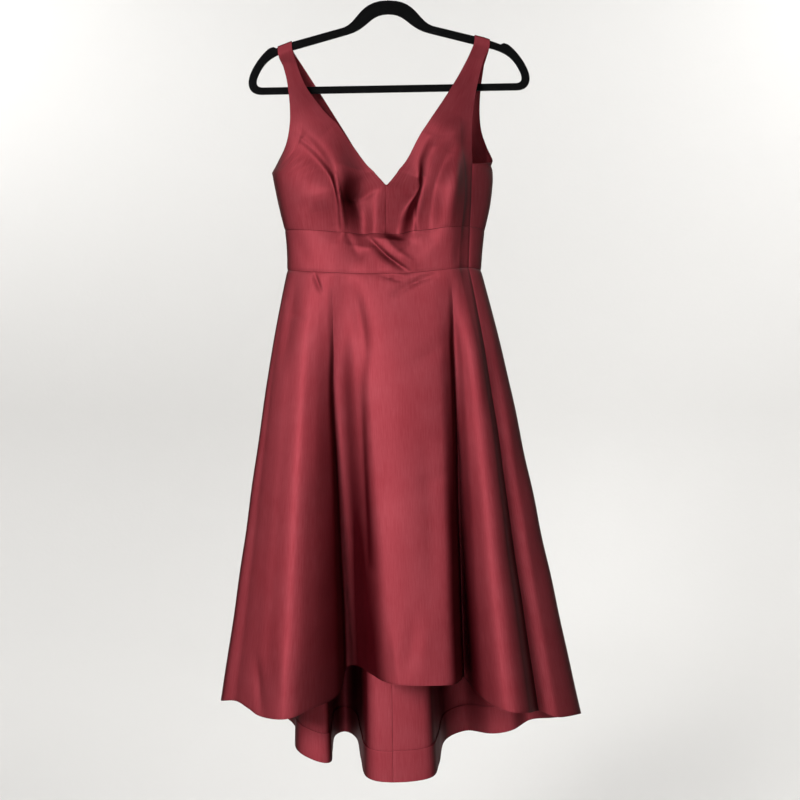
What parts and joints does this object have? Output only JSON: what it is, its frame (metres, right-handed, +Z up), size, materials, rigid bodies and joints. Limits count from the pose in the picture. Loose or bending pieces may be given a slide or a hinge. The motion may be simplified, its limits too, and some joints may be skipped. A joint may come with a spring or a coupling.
{
  "type": "cocktail dress on a hanger",
  "caption": "Sleeveless V-neck satin cocktail dress with shaped cups, a midriff band and a flared high-low skirt, hung by its straps on a slim velvet-covered hanger.",
  "frame": {"origin": "inside the top of the hanger's hook, where it bears on the rod that holds it", "axes": "+Z up, front of the dress towards -Y, +X to the right as seen from the front"},
  "size_m": [0.5714, 0.2934, 1.2956],
  "materials": {
    "satin": "heavy satin, deep wine red, soft broad shine",
    "velvet": "short black flock on moulded plastic",
    "hook_steel": "plated steel wire",
    "zip_metal": "enamel dyed to match the cloth"
  },
  "bodies": {
    "dress": {"bodice_front_left": "satin", "bodice_front_right": "satin", "bodice_back_left": "satin", "bodice_back_right": "satin", "band_front": "satin", "band_back_left": "satin", "band_back_right": "satin", "skirt_front": "satin", "skirt_back_right": "satin", "skirt_back_left": "satin", "zip_slider": "zip_metal", "hanger_frame": "velvet", "hanger_hook": "hook_steel"},
    "zip_tab": {"zip_pull_tab": "zip_metal"}
  },
  "joints": [
    {"name": "zip_tab_hinge", "type": "hinge", "parent": "dress", "child": "zip_tab", "pos_m": [-0.002, 0.04985, -0.381], "axis": [1, 0, 0], "range_deg": [0, 165]}
  ]
}
